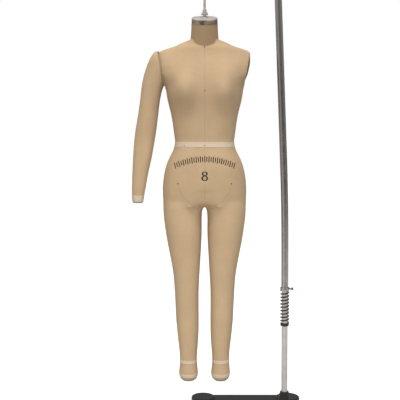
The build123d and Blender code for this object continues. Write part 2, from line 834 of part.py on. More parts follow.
def save_shoulders(shoulders):
    save("shoulder_boards", [shoulder_board(-1), shoulder_board(1)], FORM_AT)
    save("shoulder_brackets", [shoulder_bracket(-1), shoulder_bracket(1)], FORM_AT)
    pin = hinge_bar(HINGE_R, 41)
    save("shoulder_hinge_pins", [side_of(pin, -1), pin], FORM_AT)
    for side, name in ((-1, "left"), (1, "right")):
        save(f"shoulder_cover_{name}", shoulders[side], FORM_AT)
        save(f"shoulder_spring_{name}", shoulder_spring(side), FORM_AT)
    save("shoulder_cap_left", shoulder_cap(-1) - pin_space(ARM_PIN_R), FORM_AT)
    save("shoulder_cap_right", shoulder_cap(1) - arm_socket(), FORM_AT)
    save("armhole_plate_left", armhole_plate(), FORM_AT)
    save("armhole_plate_right", armhole_dome(), FORM_AT)


def save_arm():
    save("arm_body", arm_body(), FORM_AT)
    save("arm_top_plate", arm_top_plate(), FORM_AT)
    save("arm_pin", arm_pin(), FORM_AT)
    save("wrist_plate", wrist_plate(), FORM_AT)
    save("wrist_tape", wrist_tape(), FORM_AT)


def save_stand():
    save("base_plate", base_plate())
    save("pole_socket", pole_socket())
    bolts = []
    for x, y in socket_bolt_centres():
        shank = upright(4, BASE_TOP - 13, BASE_TOP + 9, x, y)
        bolts.append(shank + hexagon(13, BASE_TOP + 9, 5.5, x, y))
    save("socket_bolts", bolts)
    save("lower_tube", tube(LOWER_R, LOWER_R - 2, BASE_TOP, LOWER_TOP, POLE_X))
    save("stop_collar", stop_collar())
    save("mast_spring", mast_spring())
    save("upper_tube", upper_tube())
    save("guide_bush", guide_bush())
    save("clamp_ring", clamp_ring())
    save("thumbscrew", thumbscrew())
    save("crook_end_cap", crook_end_cap())
    save("swivel_washers", swivel_washers())
    save("swivel_nuts", swivel_nuts())
    save("hanger_rod", hanger_rod())


def save_casters():
    save("caster_plates", caster_plates())
    save("caster_screws", caster_screws())
    for number, (x, y) in enumerate(caster_centres(), 1):
        save(f"caster_fork_{number}", [caster_fork(x, y), caster_axle(x, y)])
        save(f"caster_wheel_{number}", caster_wheel(x, y))


os.makedirs("parts", exist_ok=True)
save_shoulders(save_form())
save_arm()
save_stand()
save_casters()
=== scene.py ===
import json
from functools import partial
from math import cos, pi, radians, sin

import bmesh
import bpy
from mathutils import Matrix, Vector, noise
from mathutils.bvhtree import BVHTree


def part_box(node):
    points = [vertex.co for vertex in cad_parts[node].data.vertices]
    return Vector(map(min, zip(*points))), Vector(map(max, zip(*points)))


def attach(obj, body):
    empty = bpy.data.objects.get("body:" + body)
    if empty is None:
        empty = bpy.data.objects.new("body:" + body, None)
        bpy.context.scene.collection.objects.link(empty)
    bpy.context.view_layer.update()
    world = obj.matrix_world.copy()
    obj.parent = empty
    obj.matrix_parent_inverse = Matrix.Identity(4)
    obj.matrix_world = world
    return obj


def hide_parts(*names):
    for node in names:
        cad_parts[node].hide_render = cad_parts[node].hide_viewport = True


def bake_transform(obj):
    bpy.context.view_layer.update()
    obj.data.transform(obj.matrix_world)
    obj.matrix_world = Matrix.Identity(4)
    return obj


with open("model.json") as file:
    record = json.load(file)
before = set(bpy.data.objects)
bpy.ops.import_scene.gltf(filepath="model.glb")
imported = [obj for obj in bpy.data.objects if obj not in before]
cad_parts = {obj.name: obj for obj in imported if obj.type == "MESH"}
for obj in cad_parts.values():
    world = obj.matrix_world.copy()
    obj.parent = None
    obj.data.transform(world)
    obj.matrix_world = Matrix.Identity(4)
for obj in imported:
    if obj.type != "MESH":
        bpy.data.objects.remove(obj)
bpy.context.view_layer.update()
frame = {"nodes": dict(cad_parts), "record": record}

# Linen-covered dress form on a rolling stand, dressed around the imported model.
# The form's own coordinates are millimetres, from its hanging axis and the ends of its legs.

MM = 0.001
ROD_LOW, ROD_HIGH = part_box("hanger_rod")
FORM = Vector(((ROD_LOW.x + ROD_HIGH.x) / 2, 0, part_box("leg_shell_left")[0].z))

# ---- heights and places on the form, in millimetres ----
WAIST = 985.0
CROTCH = 730.0
TORSO_TOP = 1418.0
CLEFT_TOP = 815.0       # under this the linen spans the cleft between the legs,
CLEFT_HALF = 46.0       # from this far on one side to this far on the other
CORE_Y = 10.0           # the torso's rings are measured from here
NECK_TILT = radians(18)
NECK_FOOT = (0, 24, 1352)
CAP_TOP = 1508.5
CAP_HEIGHT = 23.0
WRIST, ARMPIT = 745.0, 1300.0
SKIN_OUT = 0.8          # the linen stands this far off the CAD outline
BODY_VOXEL = 4.0
ARM_VOXEL = 3.0

X_AXIS = Vector((1, 0, 0))
Y_AXIS = Vector((0, 1, 0))
Z_AXIS = Vector((0, 0, 1))


def at(x, y, z):
    """A point given in the form's millimetres, in the row frame."""
    return FORM + Vector((x, y, z)) * MM


def form_height(z):
    """A height of the row frame, in the form's millimetres."""
    return (z - FORM.z) / MM


# ---- mesh helpers ----
RING_REACH = 0.4        # rings are cast inwards from this far out, in metres
TAPE_REACH = 0.3
LEG_TAPE_REACH = 0.062
NECK_REACH = 0.12

BODY_POINTS = 300
LEG_POINTS = 120
NECK_POINTS = 96
RIM_POINTS = 90
WAIST_TAPE_POINTS = 180
LIMB_TAPE_POINTS = 72


def new_object(name, vertices, faces, smooth=True):
    mesh = bpy.data.meshes.new(name)
    mesh.from_pydata([tuple(v) for v in vertices], [], faces)
    mesh.validate()
    mesh.update()
    if smooth:
        mesh.polygons.foreach_set("use_smooth", [True] * len(mesh.polygons))
    made = bpy.data.objects.new(name, mesh)
    bpy.context.scene.collection.objects.link(made)
    return made


def node_copy(node_name, name):
    """A CAD node's shape as a new object."""
    source = frame["nodes"][node_name].data
    return new_object(name, [v.co for v in source.vertices], [tuple(p.vertices) for p in source.polygons])


def apply_modifiers(thing):
    """Bakes an object's modifiers into its mesh."""
    seen = thing.evaluated_get(bpy.context.evaluated_depsgraph_get())
    mesh = bpy.data.meshes.new_from_object(seen)
    thing.modifiers.clear()
    thing.data = mesh
    mesh.polygons.foreach_set("use_smooth", [True] * len(mesh.polygons))


def node_tree(*names):
    """One ray-casting tree over several CAD nodes."""
    vertices = []
    polygons = []
    for name in names:
        mesh = frame["nodes"][name].data
        start = len(vertices)
        vertices += [v.co.copy() for v in mesh.vertices]
        polygons += [[start + i for i in p.vertices] for p in mesh.polygons]
    return BVHTree.FromPolygons(vertices, polygons)


def mesh_tree(*things):
    """One ray-casting tree over several finished pieces."""
    vertices = []
    polygons = []
    for thing in things:
        start = len(vertices)
        vertices += [v.co.copy() for v in thing.data.vertices]
        polygons += [[start + i for i in p.vertices] for p in thing.data.polygons]
    return BVHTree.FromPolygons(vertices, polygons)


def stitch_rings(rings, cap_low=None, cap_high=None):
    """Vertices and faces of a tube through rings of equal length, closed by fans at given points."""
    count = len(rings[0])
    vertices = [v for ring in rings for v in ring]
    faces = []
    for k in range(len(rings) - 1):
        for i in range(count):
            j = (i + 1) % count
            faces.append((k * count + i, k * count + j, (k + 1) * count + j, (k + 1) * count + i))
    last = (len(rings) - 1) * count
    if cap_low is not None:
        vertices.append(cap_low)
        faces += [(len(vertices) - 1, (i + 1) % count, i) for i in range(count)]
    if cap_high is not None:
        vertices.append(cap_high)
        faces += [(len(vertices) - 1, last + i, last + (i + 1) % count) for i in range(count)]
    return vertices, faces


def cast_ring(tree, centre, count):
    """The outermost points of a surface round a centre, at its height."""
    ring = []
    radius = None
    for i in range(count):
        angle = 2 * pi * i / count
        out = X_AXIS * cos(angle) + Y_AXIS * sin(angle)
        hit = tree.ray_cast(centre + out * RING_REACH, -out, RING_REACH)[0]
        if hit is not None:
            radius = (hit - centre).length
        ring.append(None if radius is None else centre + out * radius)
    first = next((p for p in ring if p is not None), None)
    return [first if p is None else p for p in ring]


def heights(low, high, step):
    """Even levels from low to high, about a step apart."""
    count = max(1, round((high - low) / step))
    return [low + (high - low) * i / count for i in range(count + 1)]


# ---- the body under its linen ----
def body_axis(z):
    return at(0, CORE_Y, z)


def bridged(ring, share):
    """A ring whose linen spans the cleft between the legs, by a share from 0 to 1."""
    middle = FORM.y + CORE_Y * MM
    out = []
    for place in ring:
        across = abs(place.x - FORM.x) / MM
        if across < CLEFT_HALF:
            half = [p for p in ring if (p.y < middle) == (place.y < middle)]
            edge = min(half, key=lambda p: abs(abs(p.x - FORM.x) / MM - CLEFT_HALF))
            if abs(edge.y - middle) > abs(place.y - middle):
                place = Vector((place.x, place.y + (edge.y - place.y) * share, place.z))
        out.append(place)
    return out


def torso_core():
    """Closed torso from the crotch to the neck, with its armholes cut flat."""
    names = ["torso_cover", "hip_cover", "torso_shell"]
    for side in ("left", "right"):
        names += [f"shoulder_cover_{side}", f"shoulder_cap_{side}"]
    tree = node_tree(*names)
    levels = heights(CROTCH + 1, 1340, 5) + heights(1342, TORSO_TOP, 2)
    rings = []
    for z in levels:
        ring = cast_ring(tree, body_axis(z), BODY_POINTS)
        rings.append(bridged(ring, min(1.0, (z - CROTCH + 4) / 18)) if z < CLEFT_TOP else ring)
    return stitch_rings(rings, body_axis(levels[0]), at(0, CORE_Y + 5, TORSO_TOP + 2))


def leg_centre(side, z):
    """Middle of a leg at a height."""
    share = z / CROTCH
    return at(side * (67 + 21 * share), 6 + 4 * share, z)


def leg_core(side):
    """Closed leg with a rounded foot end, whose top reaches into the torso."""
    tree = node_tree("leg_cover_left" if side < 0 else "leg_cover_right")
    rings = []
    for z in heights(4, CROTCH - 2, 6):
        rings.append(cast_ring(tree, leg_centre(side, z), LEG_POINTS))
    middle = leg_centre(side, CROTCH)
    for z, share in ((CROTCH + 5, 1.0), (CROTCH + 16, 0.95), (CROTCH + 28, 0.8)):
        lifted = [middle + (p - middle) * share for p in rings[-1]]
        rings.append([Vector((p.x, p.y, at(0, 0, z).z)) for p in lifted])
    return stitch_rings(rings, leg_centre(side, 0), leg_centre(side, CROTCH + 30))


def joined(name, parts):
    """One object from several closed surfaces."""
    vertices = []
    faces = []
    for part_vertices, part_faces in parts:
        start = len(vertices)
        vertices += part_vertices
        faces += [tuple(start + i for i in face) for face in part_faces]
    return new_object(name, vertices, faces)


def remesh(thing, size):
    step = thing.modifiers.new("remesh", "REMESH")
    step.mode = "VOXEL"
    step.voxel_size = size * MM
    apply_modifiers(thing)


def relax(thing, rounds, share, weight=None):
    """Laplacian smoothing. The weight of a point, from 0 to 1, is a function of its place."""
    step = thing.modifiers.new("relax", "SMOOTH")
    step.iterations = rounds
    step.factor = share
    if weight is not None:
        group = thing.vertex_groups.new(name="relax")
        for vertex in thing.data.vertices:
            group.add([vertex.index], weight(vertex.co), "REPLACE")
        step.vertex_group = "relax"
    apply_modifiers(thing)
    thing.vertex_groups.clear()


def fade(distance, width):
    """1 at no distance, 0 at the width, smooth between."""
    t = min(1.0, abs(distance) / width)
    return 1 - t * t * (3 - 2 * t)


def grow(thing, distance, ripple=0.0, ripple_size=40.0, seed=0.0):
    """Moves a surface out along its normals, with an optional soft unevenness."""
    moved = []
    for vertex in thing.data.vertices:
        place = vertex.co / (ripple_size * MM) + Vector((seed, seed, seed))
        height = distance + ripple * noise.noise(place)
        moved.append(vertex.co + vertex.normal * height * MM)
    for vertex, place in zip(thing.data.vertices, moved):
        vertex.co = place
    thing.data.update()


def lift_off(thing, tree, low, high):
    """Between two heights, moves the surface out to where it clears a solid up to 12 mm over it."""
    for vertex in thing.data.vertices:
        if not low < form_height(vertex.co.z) < high:
            continue
        start = vertex.co + vertex.normal * 0.012
        place = tree.ray_cast(start, -vertex.normal, 0.0125)[0]
        if place is not None:
            vertex.co = place + vertex.normal * 0.0006
    thing.data.update()


def body_skin():
    """Torso and legs run into one closed surface, smoothest at the crotch."""
    body = joined("body", [torso_core(), leg_core(-1), leg_core(1)])
    remesh(body, BODY_VOXEL)
    relax(body, 6, 0.5)

    def near_crotch(place):
        return fade(form_height(place.z) - CROTCH, 60)

    relax(body, 60, 0.5, near_crotch)
    grow(body, SKIN_OUT, 0.25, 60, 3.1)
    lift_off(body, node_tree("torso_shell", "leg_shell_left", "leg_shell_right"), 650, 830)
    return body


def cut_copy(source, name, *planes):
    """A copy of a surface, keeping the side of each plane that its normal points to."""
    mesh = source.data.copy()
    mesh.name = name
    shape = bmesh.new()
    shape.from_mesh(mesh)
    for point, normal in planes:
        everything = shape.verts[:] + shape.edges[:] + shape.faces[:]
        bmesh.ops.bisect_plane(
            shape, geom=everything, plane_co=point, plane_no=normal, clear_inner=True
        )
    shape.to_mesh(mesh)
    shape.free()
    made = bpy.data.objects.new(name, mesh)
    bpy.context.scene.collection.objects.link(made)
    return made


# ---- pieces laid on the linen ----
SEAM = [(-1.7, -0.3), (-1.3, 0.4), (-0.4, 0.5), (0, 0.1), (0.4, 0.5), (1.3, 0.4), (1.7, -0.3)]
ROLL = [(-2.4, -2.0), (-2.2, -0.3), (-1.2, 0.7), (0, 1.0), (1.2, 0.7), (2.2, -0.3), (2.4, -2.0)]
FLAT_SEAM = [(-1.5, -0.3), (-0.9, 0.12), (0, 0.02), (0.9, 0.12), (1.5, -0.3)]
WELT = [(-2.2, -0.4), (-1.7, 0.7), (-0.7, 1.3), (0.7, 1.3), (1.7, 0.7), (2.2, -0.4)]


def ribbon(line, profile, closed=False):
    """Vertices and faces of a strip along surface points, each a pair of place and normal."""
    vertices = []
    faces = []
    count = len(line)
    for i, (place, normal) in enumerate(line):
        before = line[(i - 1) % count if closed else max(0, i - 1)][0]
        after = line[(i + 1) % count if closed else min(count - 1, i + 1)][0]
        side = (after - before).cross(normal).normalized()
        vertices += [place + side * u * MM + normal * h * MM for u, h in profile]
    width = len(profile)
    for i in range(count if closed else count - 1):
        j = (i + 1) % count
        for k in range(width - 1):
            faces.append((i * width + k, i * width + k + 1, j * width + k + 1, j * width + k))
    return vertices, faces


def dropped(tree, start, direction):
    """The point of a surface that a ray from a start meets, as (place, normal), or None."""
    place, normal, _, _ = tree.ray_cast(start, direction)
    return None if place is None else (place, normal)


def smoothed(line):
    """The same line with the normals averaged over neighbours."""
    out = []
    for i, (place, _) in enumerate(line):
        near = line[max(0, i - 2): i + 3]
        out.append((place, sum((n for _, n in near), Vector()).normalized()))
    return out


def facing_line(tree, points, front=True):
    """Surface points over a list of (x, z), seen square from the front or the back."""
    direction = Vector((0, 1 if front else -1, 0))
    found = [dropped(tree, at(x, -400 if front else 400, z), direction) for x, z in points]
    return smoothed([f for f in found if f is not None])


def curve_points(controls):
    """Points along a smooth curve through a few chosen ones, about 6 mm apart."""
    controls = [Vector(c) for c in controls]
    ends = [2 * controls[0] - controls[1]] + controls + [2 * controls[-1] - controls[-2]]
    out = []
    for a, b, c, d in zip(ends, ends[1:], ends[2:], ends[3:]):
        count = max(2, round((c - b).length / 6))
        for i in range(count):
            t = i / count
            out.append(
                0.5 * (2 * b + (c - a) * t + (2 * a - 5 * b + 4 * c - d) * t * t
                       + (3 * b - a - 3 * c + d) * t ** 3)
            )
    return out + [controls[-1]]


# ---- seams ----
def centre_line(tree, low, high, front):
    return facing_line(tree, [(0, z) for z in heights(low, high, 6)], front)


def side_seam(tree, side, low, high):
    """Down the side of the body."""
    line = []
    for z in heights(low, high, 6):
        line.append(dropped(tree, at(side * 400, 12, z), -side * X_AXIS))
    return smoothed([f for f in line if f is not None])


def leg_seam(tree, side, inner):
    """Down the inside or the outside of a leg."""
    line = []
    for z in heights(14, CROTCH - 30 if inner else CROTCH + 60, 8):
        centre = leg_centre(side, z)
        way = -side if inner else side
        reach = 60 * MM if inner and z > 600 else 300 * MM
        start = centre + way * reach * X_AXIS
        if inner:
            start.x = FORM.x
        line.append(dropped(tree, start, -way * X_AXIS))
    return smoothed([f for f in line if f is not None])


def brief_line(tree, side):
    """Curved seam from the hip pin down to the crotch."""
    controls = [(side * 106, 818), (side * 96, 788), (side * 72, 760), (side * 46, 736), (side * 24, 719)]
    return facing_line(tree, curve_points(controls))


def shoulder_line(tree, side):
    """Along the top of the shoulder, from the neck to the armhole."""
    line = [dropped(tree, at(side * x, 30 - 0.11 * x, 1600), -Z_AXIS) for x in heights(52, 188, 6)]
    return smoothed([f for f in line if f is not None])


def back_shaping_line(tree, side):
    """Long shaping seam of the back, from the shoulder to the waist."""
    controls = [(120, 1378), (112, 1330), (104, 1270), (92, 1180), (80, 1090), (66, 996)]
    return facing_line(tree, curve_points([(side * x, z) for x, z in controls]), False)


def armhole_rim(tree, side, depth):
    """Rolled edge at the armhole's plane, of the linen that a section this deep under it shows."""
    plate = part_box("armhole_plate_left")
    middle = (plate[0] + plate[1]) / 2
    middle.x = FORM.x + side * abs(middle.x - FORM.x)
    normal = Vector(frame["record"]["mounts"][0]["axis"])
    normal.x *= side
    up = normal.cross(Y_AXIS)
    line = []
    for i in range(RIM_POINTS):
        angle = 2 * pi * i / RIM_POINTS
        spoke = Y_AXIS * cos(angle) + up * sin(angle)
        start = middle + normal * depth * MM + spoke * 0.12
        hit = dropped(tree, start, -spoke)
        if hit is not None:
            back = -1.2 if depth < 0 else 3.6
            line.append((hit[0] + normal * (back - depth) * MM - spoke * 0.0026, spoke))
    return line


# ---- tapes ----
TAPE_FACE = 1.0         # off the linen, in millimetres
TAPE_EDGE = -0.3


def tape_rings(tree, centre_at, z_low, z_high, count, reach=TAPE_REACH):
    """A flat woven tape round a limb: level rings just off the surface, with the edges turned in."""
    rings = []
    rows = [(z_low, TAPE_EDGE), (z_low + 0.3, TAPE_FACE)]
    rows += [(z, TAPE_FACE) for z in heights(z_low + 1.5, z_high - 1.5, 4)]
    rows += [(z_high - 0.3, TAPE_FACE), (z_high, TAPE_EDGE)]
    for z, height in rows:
        centre = centre_at(z)
        ring = []
        for i in range(count):
            angle = 2 * pi * i / count
            out = Vector((cos(angle), sin(angle), 0))
            hit = dropped(tree, centre + out * reach, -out)
            ring.append(hit[0] + out * height * MM)
        rings.append(ring)
    return stitch_rings(rings)


# ---- printed marks ----
INK_LIFT = 0.3
LOOP_POINTS = 40


def ink(tree, points, width):
    """A flat printed stroke through points (x, z)."""
    profile = [(-width / 2, INK_LIFT), (0, INK_LIFT + 0.05), (width / 2, INK_LIFT)]
    return ribbon(facing_line(tree, points), profile)


def tick_arc(tree):
    """A generic arched row of measuring ticks across the belly."""
    strips = []
    marks = 29
    for i in range(marks):
        share = -1 + 2 * i / (marks - 1)
        x = 120 * share
        z = 926 - 26 * share ** 2
        lean = share * 0.3
        half = 12.5 if i % 2 == 0 else 9.5
        along = (half * sin(lean), half * cos(lean))
        stroke = [(x + end * along[0], z + end * along[1]) for end in (-1, 0, 1)]
        strips.append(ink(tree, stroke, 4.0))
    return strips


def size_numeral(tree):
    """The numeral 8, with thick sides and thin crossings."""
    strips = []
    for centre_z, half_x, half_z in ((867.5, 8.5, 7.5), (849.5, 10.0, 9.0)):
        line = []
        widths = []
        for i in range(LOOP_POINTS):
            angle = 2 * pi * i / LOOP_POINTS
            line.append((half_x * cos(angle), centre_z + half_z * sin(angle)))
            widths.append(3.0 + 3.6 * cos(angle) ** 2)
        surface = facing_line(tree, line)
        vertices = []
        for i, (place, normal) in enumerate(surface):
            after = surface[(i + 1) % LOOP_POINTS][0]
            before = surface[i - 1][0]
            side = (after - before).cross(normal).normalized()
            for u in (-0.5, 0.5):
                vertices.append(place + side * u * widths[i] * MM + normal * INK_LIFT * MM)
        last = 2 * LOOP_POINTS
        faces = [(2 * i, 2 * i + 1, (2 * i + 3) % last, (2 * i + 2) % last) for i in range(LOOP_POINTS)]
        strips.append((vertices, faces))
    return strips


# ---- neck ----
NECK_UP = Vector((0, -sin(NECK_TILT), cos(NECK_TILT)))
NECK_ALONG = Vector((0, cos(NECK_TILT), sin(NECK_TILT)))


def cap_centre():
    """Middle of the cap's top face."""
    low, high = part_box("neck_cap")
    return Vector((FORM.x, (low.y + high.y) / 2 - 0.001, at(0, 0, CAP_TOP).z))


def neck_skin():
    """Tilted tube of linen whose foot goes under the linen of the shoulders."""
    tree = node_tree("neck_cover")
    top = cap_centre() - NECK_UP * (CAP_HEIGHT + 0.3) * MM
    foot = at(*NECK_FOOT)
    rings = []
    for share in reversed(heights(0, 1, 0.03)):
        centre = foot.lerp(top, share)
        ring = []
        for i in range(NECK_POINTS):
            angle = 2 * pi * i / NECK_POINTS
            out = X_AXIS * cos(angle) + NECK_ALONG * sin(angle)
            hit = tree.ray_cast(centre + out * NECK_REACH, -out, 0.09)[0]
            if hit is None:
                hit = rings[-1][i] + (centre - last_centre)
            ring.append(hit)
        rings.append(ring)
        last_centre = centre
    rings.reverse()
    made = new_object("linen_neck_painted_shade", *stitch_rings(rings))
    relax(made, 4, 0.4)
    grow(made, 0.3)
    return made


def neck_foot(neck_tree, body_tree):
    """The line where the neck meets the shoulders."""
    top = cap_centre() - NECK_UP * CAP_HEIGHT * MM
    foot = at(*NECK_FOOT)
    line = []
    for i in range(RIM_POINTS):
        angle = 2 * pi * i / RIM_POINTS
        out = X_AXIS * cos(angle) + NECK_ALONG * sin(angle)
        found = None
        for share in reversed(heights(0.02, 0.95, 0.005)):
            centre = foot.lerp(top, share)
            hit = dropped(neck_tree, centre + out * NECK_REACH, -out)
            if hit is None:
                continue
            near, normal, _, _ = body_tree.find_nearest(hit[0])
            if (hit[0] - near).dot(normal) < 0:
                found = (hit[0], (hit[1] + normal).normalized())
                break
        if found is not None:
            line.append(found)
    return line


# ---- arm ----
def arm_skin():
    """The stuffed sleeve, a little uneven."""
    made = node_copy("arm_body", "linen_arm")
    remesh(made, ARM_VOXEL)
    relax(made, 8, 0.5)
    grow(made, 0.5, 0.5, 38, 7.7)
    return made


def arm_centre(z):
    """Middle of the arm at a height, between the shoulder and the wrist."""
    share = (z - WRIST) / (ARMPIT - WRIST)
    return at(-275 + 74 * share, -24 + 38 * share, z)


def arm_seam(tree):
    """Seam up the back of the sleeve."""
    line = []
    for z in heights(752, 1330, 6):
        line.append(dropped(tree, arm_centre(z) + Y_AXIS * 0.2, -Y_AXIS))
    return smoothed([f for f in line if f is not None])


# ---- materials ----
def node(material, kind, inputs=None, **properties):
    """A shader node with its properties set and its inputs set or linked."""
    made = material.node_tree.nodes.new(kind)
    for key, value in properties.items():
        setattr(made, key, value)
    for socket, value in (inputs or {}).items():
        if isinstance(value, bpy.types.NodeSocket):
            material.node_tree.links.new(value, made.inputs[socket])
        else:
            made.inputs[socket].default_value = value
    return made


def new_material(name, settings):
    """A Principled material with constant values on the shader's own sockets."""
    material = bpy.data.materials.new(name)
    material.use_nodes = True
    shader = material.node_tree.nodes["Principled BSDF"]
    for socket, value in settings.items():
        shader.inputs[socket].default_value = value
    return material


def feed(material, socket, output):
    shader = material.node_tree.nodes["Principled BSDF"]
    material.node_tree.links.new(output, shader.inputs[socket])


def places(material, scale=(1, 1, 1)):
    """Object coordinates in metres, stretched by a scale."""
    source = node(material, "ShaderNodeTexCoord").outputs["Object"]
    return node(material, "ShaderNodeMapping", {"Vector": source, "Scale": scale}).outputs[0]


def cloud(material, scale, detail=3.0, stretch=(1, 1, 1)):
    inputs = {"Vector": places(material, stretch), "Scale": scale, "Detail": detail}
    return node(material, "ShaderNodeTexNoise", inputs).outputs["Fac"]


def threads(material, direction, pitch, wobble=1.2):
    """Round parallel threads of a pitch in millimetres."""
    scale = 2 * pi / (20 * pitch * MM)
    inputs = {
        "Vector": places(material),
        "Scale": scale,
        "Distortion": wobble,
        "Detail": 1.0,
        "Detail Scale": 0.3,
    }
    wave = node(material, "ShaderNodeTexWave", inputs, wave_type="BANDS", bands_direction=direction)
    return wave.outputs["Fac"]


def shades(material, factor, stops):
    """A colour ramp over a factor, from (place, colour) stops."""
    ramp = node(material, "ShaderNodeValToRGB", {"Fac": factor})
    elements = ramp.color_ramp.elements
    while len(elements) < len(stops):
        elements.new(0.5)
    for element, (place, colour) in zip(elements, stops):
        element.position = place
        element.color = (*colour, 1)
    return ramp.outputs["Color"]


def blended(material, mode, share, first, second):
    made = node(material, "ShaderNodeMix", data_type="RGBA", blend_type=mode)
    for socket, value in ((0, share), (6, first), (7, second)):
        if isinstance(value, bpy.types.NodeSocket):
            material.node_tree.links.new(value, made.inputs[socket])
        else:
            made.inputs[socket].default_value = value
    return made.outputs[2]


def summed(material, first, second, weight=1.0):
    inputs = {0: second, 1: weight, 2: first}
    return node(material, "ShaderNodeMath", inputs, operation="MULTIPLY_ADD").outputs[0]


def bump(material, height, strength, distance, below=None):
    inputs = {"Height": height, "Strength": strength, "Distance": distance * MM}
    if below is not None:
        inputs["Normal"] = below
    return node(material, "ShaderNodeBump", inputs).outputs["Normal"]


def tinted(colour, share):
    return tuple(c * share for c in colour)


def woven(name, colour, pitch, contrast=0.10, sheen=0.25):
    """Plain-woven cloth: threads both ways, slubs, a faint mottle, painted shade in the gaps between the
    threads, and a soft sheen.
    """
    material = new_material(name, {
        "Roughness": 0.88,
        "Specular IOR Level": 0.25,
        "Sheen Weight": sheen,
        "Sheen Roughness": 0.5,
        "Sheen Tint": (*tinted(colour, 1.3), 1),
    })
    mottle = cloud(material, 9, 4)
    slub_weft = cloud(material, 60, 2, (0.35, 0.35, 9))
    slub_warp = cloud(material, 60, 2, (6, 6, 0.25))
    base = shades(material, mottle, [
        (0.3, tinted(colour, 1 - 0.5 * contrast)),
        (0.7, tinted(colour, 1 + 0.5 * contrast)),
    ])
    grey = [(0.35, (0.96, 0.955, 0.95)), (0.65, (1.025, 1.025, 1.025))]
    base = blended(material, "MULTIPLY", 0.5, base, shades(material, slub_weft, grey))
    base = blended(material, "MULTIPLY", 0.5, base, shades(material, slub_warp, grey))
    weft = threads(material, "Z", pitch)
    warp = summed(material, threads(material, "X", pitch), threads(material, "Y", pitch))
    weave = summed(material, weft, warp, 0.5)
    # Painted shade: the gaps between the threads are darkened, and the thread crests are made a touch
    # lighter.
    painted_gap_shade = shades(material, weave, [(0.25, (0.86, 0.84, 0.80)), (0.9, (1.03, 1.03, 1.03))])
    feed(material, "Base Color", blended(material, "MULTIPLY", 0.4, base, painted_gap_shade))
    coarse = bump(material, slub_weft, 0.12, 0.6)
    feed(material, "Normal", bump(material, weave, 0.45, 0.25, coarse))
    return material


def plated(name, colour, roughness, streak, metallic=1.0):
    """Plated metal with fine drawing lines and light scuffs."""
    material = new_material(name, {"Metallic": metallic})
    lines = cloud(material, 30, 3, (40, 40, 0.6))
    scuffs = cloud(material, 45, 6)
    dark = tinted(colour, 1 - streak)
    feed(material, "Base Color", blended(
        material, "MULTIPLY", 0.6,
        shades(material, lines, [(0.35, dark), (0.6, colour)]),
        shades(material, scuffs, [(0.32, (0.86, 0.84, 0.82)), (0.55, (1, 1, 1))]),
    ))
    feed(material, "Roughness", shades(material, scuffs, [
        (0.3, (roughness * 1.8,) * 3),
        (0.7, (roughness,) * 3),
    ]))
    feed(material, "Normal", bump(material, scuffs, 0.08, 0.3))
    return material


def tarnished_cap(name):
    """Plated cap: a bright rim, and a mottled brown band under it."""
    material = new_material(name, {"Metallic": 0.5})
    source = node(material, "ShaderNodeTexCoord").outputs["Object"]
    up = node(material, "ShaderNodeVectorMath", {0: source, 1: NECK_UP}, operation="DOT_PRODUCT")
    top = cap_centre().dot(NECK_UP)
    depth = node(material, "ShaderNodeMath", {0: top, 1: up.outputs["Value"]}, operation="SUBTRACT")
    inputs = {0: depth.outputs[0], 1: 1 / (CAP_HEIGHT * MM)}
    share = node(material, "ShaderNodeMath", inputs, operation="MULTIPLY")
    stain = cloud(material, 70, 5, (1, 1, 0.5))
    band = shades(material, stain, [(0.35, (0.13, 0.09, 0.058)), (0.62, (0.42, 0.33, 0.25))])
    rim = shades(material, stain, [(0.3, (0.46, 0.40, 0.36)), (0.6, (0.72, 0.66, 0.61))])
    where = shades(material, share.outputs[0], [(0.17, (0, 0, 0)), (0.26, (1, 1, 1))])
    feed(material, "Base Color", blended(material, "MIX", where, rim, band))
    feed(material, "Roughness", shades(material, stain, [(0.3, (0.5,) * 3), (0.7, (0.25,) * 3)]))
    feed(material, "Normal", bump(material, stain, 0.1, 0.3))
    return material


def enamelled(name, colour, grain, roughness=0.42):
    """Black coating with a fine orange-peel grain and rubbed spots."""
    material = new_material(name, {"Roughness": roughness, "Coat Weight": 0.15, "Coat Roughness": 0.3})
    wear = cloud(material, 14, 6)
    peel = cloud(material, grain, 3)
    feed(material, "Base Color", shades(material, wear, [
        (0.3, tinted(colour, 0.8)),
        (0.62, colour),
        (0.8, tinted(colour, 1.9)),
    ]))
    feed(material, "Normal", bump(material, peel, 0.35, 0.4))
    return material


def zinc_plated(name):
    """Dull plated steel with a spangle and a few darker stains."""
    material = new_material(name, {"Metallic": 0.9})
    spangle = cloud(material, 180, 4)
    feed(material, "Base Color", shades(material, spangle, [
        (0.3, (0.36, 0.35, 0.34)),
        (0.7, (0.60, 0.59, 0.57)),
    ]))
    feed(material, "Roughness", shades(material, spangle, [(0.3, (0.5,) * 3), (0.7, (0.3,) * 3)]))
    feed(material, "Normal", bump(material, spangle, 0.15, 0.2))
    return material


def wooden(name):
    """Birch plywood: long grain and pale layers."""
    material = new_material(name, {"Roughness": 0.6})
    grain = cloud(material, 22, 5, (1, 12, 12))
    layers = threads(material, "Z", 1.5, 0.5)
    base = shades(material, grain, [(0.3, (0.42, 0.28, 0.16)), (0.7, (0.66, 0.50, 0.32))])
    lines = shades(material, layers, [(0.2, (0.8, 0.75, 0.7)), (0.8, (1, 1, 1))])
    feed(material, "Base Color", blended(material, "MULTIPLY", 0.5, base, lines))
    feed(material, "Normal", bump(material, grain, 0.2, 0.3))
    return material


def fibre(name):
    """Moulded fibre shell: matted flecks in a brown binder."""
    material = new_material(name, {"Roughness": 0.8})
    mat = cloud(material, 90, 8)
    feed(material, "Base Color", shades(material, mat, [
        (0.3, (0.22, 0.16, 0.11)),
        (0.7, (0.42, 0.33, 0.23)),
    ]))
    feed(material, "Normal", bump(material, mat, 0.5, 0.6))
    return material


